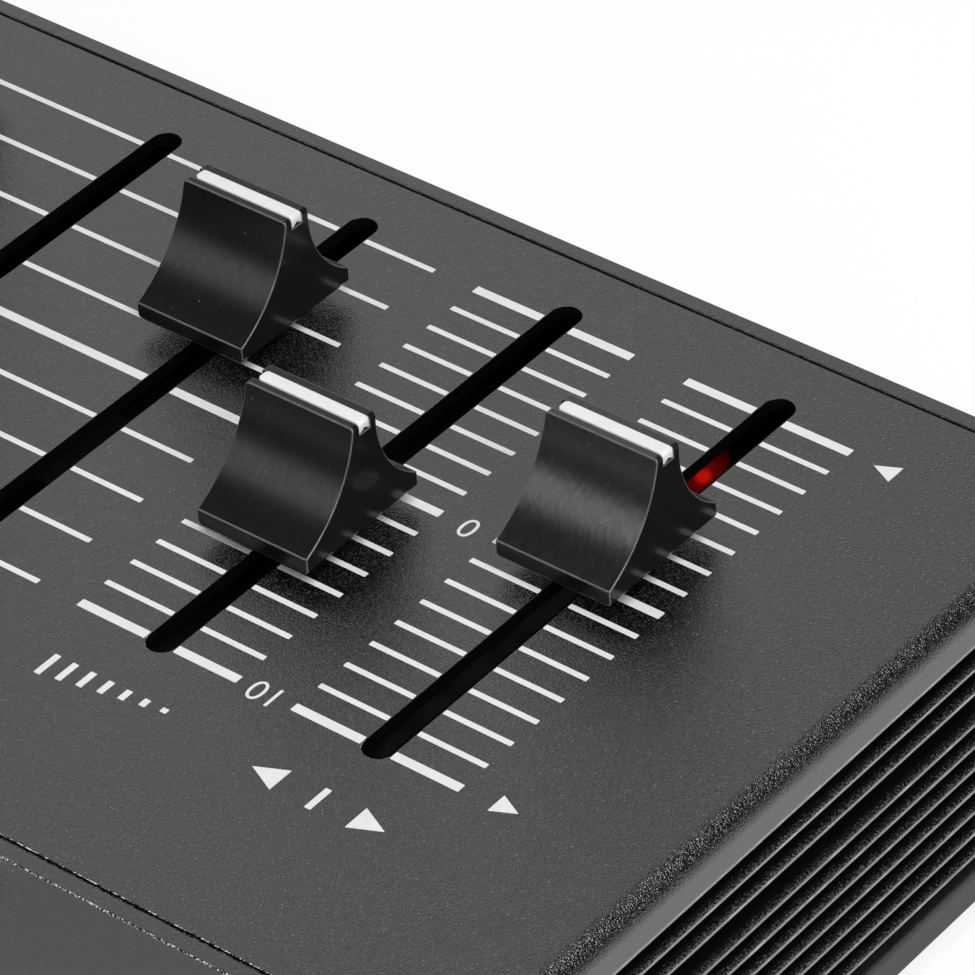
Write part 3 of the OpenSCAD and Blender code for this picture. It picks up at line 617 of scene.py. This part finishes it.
lineModel = makeLineBar(knob["top"] + line["proud"])
lineMiddle, lineLow = line["middle"] * mm, line["low"] * mm
lineTop, lineEnd = (knob["top"] + line["proud"]) * mm, -knob["width"] / 2 * mm
openMesh(lineModel)
bpy.ops.mesh.bisect(plane_co=(0, lineMiddle, 0), plane_no=(0, 1, 0))
pickEdges(lambda a, b: max(abs(a.y - lineMiddle), abs(b.y - lineMiddle)) < near
          and max(a.z, b.z) < lineLow + near)
bpy.ops.transform.translate(value=(0, 0, line["notch"] * mm))
pickEdges(lambda a, b: max(a.x, b.x) < lineEnd + near and min(a.z, b.z) > lineTop - near)
bevelPicked(knob["ridgeEnd"], knob["roundSteps"])
closeMesh()
setFinishes(lineModel, partFinish["line_plastic"])
roundEdges(lineModel, line["edge"], angle=line["sharp"])

rubbedKnobs = ("balance",)
for name in sliderNames:
    place = Matrix.Translation((sliderX[name], lineY[name], panelTop))
    for model, part, slot in ((knobModel, "knob", "knob_black"), (lineModel, "line", "line_white")):
        piece = bpy.data.objects.new("%s_%s_cap" % (name, part), model.data.copy())
        bpy.context.scene.collection.objects.link(piece)
        piece.data.transform(place)
        if part == "knob" and name in rubbedKnobs:
            plain = knobOrder.index("knob_plastic")
            piece.data.materials[plain] = knobRubbed
            piece.data.materials[knobOrder.index("knob_skirt")] = knobFinishes[plain]
        finishPiece(piece, name + "_slider", slot, "%s_%s" % (name, part))
bpy.data.objects.remove(knobModel)
bpy.data.objects.remove(lineModel)
print("knobs finished")

# printed scales
scale = {  # millimetres, apart from the steps
    "steps": 16, "thin": 0.5, "thick": 0.82, "bandReach": 8.2,
    "leftReach": {"balance": 7.45, "volume": 7.25}, "rightReach": {"balance": 7.7, "volume": 7.8},
    "slotClear": 1.36, "ink": 0.015, "corner": 0.07, "cornerSteps": 3,
}
clear = scale["slotClear"] * mm
middleStep = scale["steps"] // 2


def stepY(step):
    return scaleY + (step - middleStep) * travel / scale["steps"]


# one printed bar from x to x, still without thickness
def addBar(fromX, toX, y, width):
    clearSelection()
    bpy.ops.mesh.primitive_plane_add(size=1)
    bar = bpy.context.active_object
    openMesh(bar)
    bpy.ops.transform.resize(value=(toX - fromX, width * mm, 1))
    bpy.ops.transform.translate(value=((fromX + toX) / 2, y, panelTop))
    closeMesh()
    return bar


# joins flat shapes to one printed piece with the thickness of the ink
def printShapes(pieceName, shapes):
    clearSelection()
    for shape in shapes:
        shape.select_set(True)
    bpy.context.view_layer.objects.active = shapes[0]
    bpy.ops.object.join()
    piece = bpy.context.active_object
    piece.name = pieceName
    openMesh(piece)
    bpy.ops.mesh.bevel(offset=scale["corner"] * mm, segments=scale["cornerSteps"], affect="VERTICES")
    bpy.ops.mesh.select_all(action="SELECT")
    bpy.ops.mesh.extrude_region_move(TRANSFORM_OT_translate={"value": (0, 0, scale["ink"] * mm)})
    bpy.ops.mesh.select_all(action="SELECT")
    bpy.ops.mesh.normals_make_consistent(inside=False)
    closeMesh()
    setFinishes(piece, partFinish["print_ink"])
    finishPiece(piece, "case", "line_white")


for name in ("balance", "volume"):
    bars = []
    left = sliderX[name] - scale["leftReach"][name] * mm
    right = sliderX[name] + scale["rightReach"][name] * mm
    for step in range(scale["steps"] + 1):
        width = scale["thick"] if step in (0, middleStep, scale["steps"]) else scale["thin"]
        bars.append(addBar(left, sliderX[name] - clear, stepY(step), width))
        bars.append(addBar(sliderX[name] + clear, right, stepY(step), width))
    printShapes(name + "_scale", bars)
bars = []
slots = [sliderX[name] for name in bandNames]
for step in range(0, scale["steps"] + 1, 2):
    width = scale["thick"] if step == middleStep else scale["thin"]
    bars.append(addBar(slots[0] - scale["bandReach"] * mm, slots[0] - clear, stepY(step), width))
    for left, right in zip(slots, slots[1:]):
        bars.append(addBar(left + clear, right - clear, stepY(step), width))
    bars.append(addBar(slots[-1] + clear, slots[-1] + scale["bandReach"] * mm, stepY(step), width))
printShapes("band_scale", bars)
print("scales printed")

# plain numbers beside the volume scale, seen upright from the front
numbers = {  # millimetres, the places from the middle of the balance scale
    "size": 3.0, "thinner": 0.02, "places": (("0", 10.1, 0.0), ("10", 10.2, 22.5)),
}
for body, acrossX, backY in numbers["places"]:
    clearSelection()
    bpy.ops.object.text_add()
    text = bpy.context.active_object
    text.data.body = body
    text.data.align_x = "CENTER"
    text.data.align_y = "CENTER"
    text.data.size = numbers["size"] * mm
    text.data.offset = -numbers["thinner"] * mm
    text.data.extrude = scale["ink"] * mm / 2
    bpy.ops.object.convert(target="MESH")
    piece = bpy.context.active_object
    piece.name = "number_" + body
    piece.data.transform(Matrix.Translation((sliderX["balance"] + acrossX * mm, scaleY + backY * mm,
                                             panelTop + scale["ink"] * mm / 2)))
    setFinishes(piece, partFinish["print_ink"])
    finishPiece(piece, "case", "line_white")
print("numbers printed")

# plain signs: rising bars behind the volume scale, arrows behind the balance scale and at its ends
signs = {  # millimetres, apart from the number of bars
    "behind": 29.0, "height": 2.4, "bars": 7, "barApart": 1.7, "barWidth": 0.55, "lowest": 0.5,
    "arrowLong": 2.6, "arrowApart": 8.5, "strokeWidth": 0.55,
    "endAside": 11.0, "endBehind": 22.3, "endHeight": 1.9, "endLong": 2.0,
}


# a flat triangle that points along +X or -X, its length and height in millimetres
def addArrow(x, y, long, height, side):
    clearSelection()
    bpy.ops.mesh.primitive_circle_add(vertices=3, radius=1, fill_type="NGON")
    arrow = bpy.context.active_object
    openMesh(arrow)
    tip = max(point.co.y for point in arrow.data.vertices)
    tail = min(point.co.y for point in arrow.data.vertices)
    span = max(point.co.x for point in arrow.data.vertices) * 2
    bpy.ops.transform.rotate(value=math.radians(90) * side, orient_axis="Z", center_override=(0, 0, 0))
    bpy.ops.transform.resize(value=(long * mm / (tip - tail), height * mm / span, 1),
                             center_override=(0, 0, 0))
    bpy.ops.transform.translate(value=(x, y, panelTop))
    closeMesh()
    return arrow


signY = scaleY + signs["behind"] * mm
rising = []
halfBar = signs["barWidth"] / 2 * mm
for bar in range(signs["bars"]):
    tall = signs["lowest"] + (signs["height"] - signs["lowest"]) * bar / (signs["bars"] - 1)
    x = sliderX["volume"] + (bar - (signs["bars"] - 1) / 2) * signs["barApart"] * mm
    y = signY + (tall - signs["height"]) / 2 * mm
    rising.append(addBar(x - halfBar, x + halfBar, y, tall))
printShapes("volume_sign", rising)
arrows = []
for side in (-1, 1):
    x = sliderX["balance"] + side * signs["arrowApart"] / 2 * mm
    arrows.append(addArrow(x, signY, signs["arrowLong"], signs["height"], side))
halfStroke = signs["strokeWidth"] / 2 * mm
stroke = addBar(sliderX["balance"] - halfStroke, sliderX["balance"] + halfStroke, signY, signs["height"])
printShapes("balance_sign", arrows + [stroke])
for name, side in (("left", 1), ("right", -1)):
    x, y = sliderX["balance"] - signs["endAside"] * mm, scaleY + side * signs["endBehind"] * mm
    printShapes("balance_%s_sign" % name, [addArrow(x, y, signs["endLong"], signs["endHeight"], -side)])
print("signs printed")

# floor: white to the camera; in the mirrored view it holds painted light and shade, a bright band beside the
# left side that falls off towards the case and far away
floorLook = {
    "size": 6.0, "shade": grey(0.9), "rough": 0.9, "specular": 0.0, "white": 1.06,
    "seenWhite": 0.8, "mirroredWhite": 0.9,  # shares of the glow in what is seen and in what is mirrored
    # levels of painted light and shade across the floor, seen only in reflections
    "mirrored": ((-0.30, 0.2), (-0.20, 0.45), (-0.135, 0.9), (-0.112, 0.9), (-0.095, 0.42)),  # X, level
}
clearSelection()
bpy.ops.mesh.primitive_plane_add(size=floorLook["size"])
floor = bpy.context.active_object
floor.name = "floor"
floorWhite, floorTree, floorShader = newMaterial("floor_white")
floorShader.inputs["Base Color"].default_value = (*floorLook["shade"], 1)
floorShader.inputs["Roughness"].default_value = floorLook["rough"]
floorShader.inputs["Specular IOR Level"].default_value = floorLook["specular"]
floorPath = addNode(floorTree, "ShaderNodeLightPath")
floorCoords = addNode(floorTree, "ShaderNodeTexCoord")
floorPlace = addNode(floorTree, "ShaderNodeSeparateXYZ")
nearest, farthest = floorLook["mirrored"][-1][0], floorLook["mirrored"][0][0]
floorAcross = addNode(floorTree, "ShaderNodeMapRange", {"From Min": farthest, "From Max": nearest})
floorRamp = addRamp(floorTree, [((x - farthest) / (nearest - farthest), grey(level))
                                for x, level in floorLook["mirrored"]])
floorMirror = addNode(floorTree, "ShaderNodeEmission", {"Strength": 1.0})
floorGlow = addNode(floorTree, "ShaderNodeEmission", {"Color": (1, 1, 1, 1), "Strength": floorLook["white"]})
floorBounce = addNode(floorTree, "ShaderNodeMath", operation="MAXIMUM")
floorMirrored = addNode(floorTree, "ShaderNodeMath", {1: floorLook["mirroredWhite"]}, operation="MULTIPLY")
floorSeen = addNode(floorTree, "ShaderNodeMath", {1: floorLook["seenWhite"]}, operation="MULTIPLY")
mirrorMix = addNode(floorTree, "ShaderNodeMixShader")
floorMix = addNode(floorTree, "ShaderNodeMixShader")
floorTree.links.new(floorCoords.outputs["Object"], floorPlace.inputs["Vector"])
floorTree.links.new(floorPlace.outputs["X"], floorAcross.inputs["Value"])
floorTree.links.new(floorAcross.outputs["Result"], floorRamp.inputs["Fac"])
floorTree.links.new(floorRamp.outputs["Color"], floorMirror.inputs["Color"])
floorTree.links.new(floorPath.outputs["Is Glossy Ray"], floorBounce.inputs[0])
floorTree.links.new(floorPath.outputs["Is Transmission Ray"], floorBounce.inputs[1])
floorTree.links.new(floorBounce.outputs["Value"], floorMirrored.inputs[0])
floorTree.links.new(floorMirrored.outputs["Value"], mirrorMix.inputs["Fac"])
floorTree.links.new(floorShader.outputs["BSDF"], mirrorMix.inputs[1])
floorTree.links.new(floorMirror.outputs["Emission"], mirrorMix.inputs[2])
floorTree.links.new(floorPath.outputs["Is Camera Ray"], floorSeen.inputs[0])
floorTree.links.new(floorSeen.outputs["Value"], floorMix.inputs["Fac"])
floorTree.links.new(mirrorMix.outputs["Shader"], floorMix.inputs[1])
floorTree.links.new(floorGlow.outputs["Emission"], floorMix.inputs[2])
floorTree.links.new(floorMix.outputs["Shader"], floorTree.nodes["Material Output"].inputs["Surface"])
floor.data.materials.append(floorWhite)

# lights around the balance scale, and a faint even light from all sides
aim = Vector((sliderX["balance"], scaleY, panelTop))
worldLevel = 0.05
lights = (  # name, direction, direction of one side, distance, width, height, level (1 is a white card)
    ("key_softbox", (-0.38, 0.20, 0.90), (1, 0, 0), 1.0, 0.7, 0.7, 5.2),
    ("front_panel", (0.79, -0.48, 0.38), (-0.93, 0, 0.37), 1.2, 1.8, 1.9, 0.555),
    ("rear_panel", (0.52, 0.70, 0.46), (1, 0, 0), 1.0, 0.4, 0.38, 1.7),
    ("left_panel", (-0.80, 0.45, 0.35), (0, 1, 0), 1.0, 0.5, 0.5, 3.8),
)
for name, direction, side, distance, width, height, level in lights:
    lamp = bpy.data.lights.new(name, "AREA")
    lamp.shape = "RECTANGLE"
    lamp.size = width
    lamp.size_y = height
    lamp.energy = level * math.pi * width * height
    lampObject = bpy.data.objects.new(name, lamp)
    bpy.context.scene.collection.objects.link(lampObject)
    away = Vector(direction).normalized()
    up = away.cross(Vector(side)).normalized()
    turn = Matrix((up.cross(away), up, away)).transposed().to_4x4()
    lampObject.matrix_world = Matrix.Translation(aim + away * distance) @ turn
world = bpy.data.worlds.new("studio")
world.use_nodes = True
world.node_tree.nodes["Background"].inputs["Color"].default_value = (1, 1, 1, 1)
world.node_tree.nodes["Background"].inputs["Strength"].default_value = worldLevel
bpy.context.scene.world = world

# camera at the photo's place, with the directions of its own axes
view = {  # millimetres
    "eye": (-313.77, 259.76, 324.30), "lens": 239.6, "sensor": 36, "clipStart": 10,
    "right": (-0.77648, -0.62716, -0.06124),
    "up": (0.35481, -0.51544, 0.78002),
    "back": (-0.52077, 0.58394, 0.62275),
}
cameraData = bpy.data.cameras.new("photo_view")
cameraData.lens = view["lens"]
cameraData.sensor_width = view["sensor"]
cameraData.clip_start = view["clipStart"] * mm
camera = bpy.data.objects.new("photo_view", cameraData)
bpy.context.scene.collection.objects.link(camera)
turn = Matrix((view["right"], view["up"], view["back"])).transposed().to_4x4()
camera.matrix_world = Matrix.Translation(Vector(view["eye"]) * mm) @ turn
bpy.context.scene.camera = camera
bpy.context.scene.view_settings.view_transform = "Standard"
print("stage set")

bpy.context.view_layer.update()
